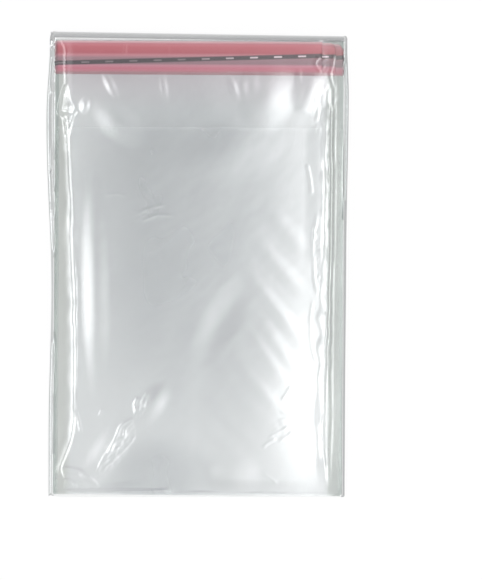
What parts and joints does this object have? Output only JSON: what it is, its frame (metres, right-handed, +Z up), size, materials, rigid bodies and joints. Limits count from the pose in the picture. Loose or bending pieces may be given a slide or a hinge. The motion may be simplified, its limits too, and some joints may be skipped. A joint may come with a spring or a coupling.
{
  "type": "pack of self-seal film bags",
  "caption": "Flat pack of clear self-seal film bags with red release liners, lying on each other inside a clear film outer wrapper.",
  "frame": {"origin": "middle of the wrapper's outline, on the underside that the pack lies on", "axes": "+Y along the bags towards their flaps and the wrapper's mouth, +X to the right seen from above, +Z up through the stack"},
  "size_m": [0.1272, 0.1962, 0.0075],
  "materials": {
    "bag_film": "clear glossy film",
    "adhesive": "dark tacky glue line",
    "release_liner": "satin red film tape",
    "wrapper_film": "clear glossy film, lightly wrinkled"
  },
  "bodies": {
    "root": {"wrapper": "wrapper_film", "bag_01": "bag_film", "adhesive_01": "adhesive", "liner_01": "release_liner", "bag_02": "bag_film", "adhesive_02": "adhesive", "liner_02": "release_liner", "bag_03": "bag_film", "adhesive_03": "adhesive", "liner_03": "release_liner", "bag_04": "bag_film", "adhesive_04": "adhesive", "liner_04": "release_liner", "bag_05": "bag_film", "adhesive_05": "adhesive", "liner_05": "release_liner", "bag_06": "bag_film", "adhesive_06": "adhesive", "liner_06": "release_liner", "bag_07": "bag_film", "adhesive_07": "adhesive", "liner_07": "release_liner", "bag_08": "bag_film", "adhesive_08": "adhesive", "liner_08": "release_liner", "bag_09": "bag_film", "adhesive_09": "adhesive", "liner_09": "release_liner", "bag_10": "bag_film", "adhesive_10": "adhesive", "liner_10": "release_liner", "bag_11": "bag_film", "adhesive_11": "adhesive", "liner_11": "release_liner", "bag_12": "bag_film", "adhesive_12": "adhesive", "liner_12": "release_liner"}
  },
  "joints": []
}
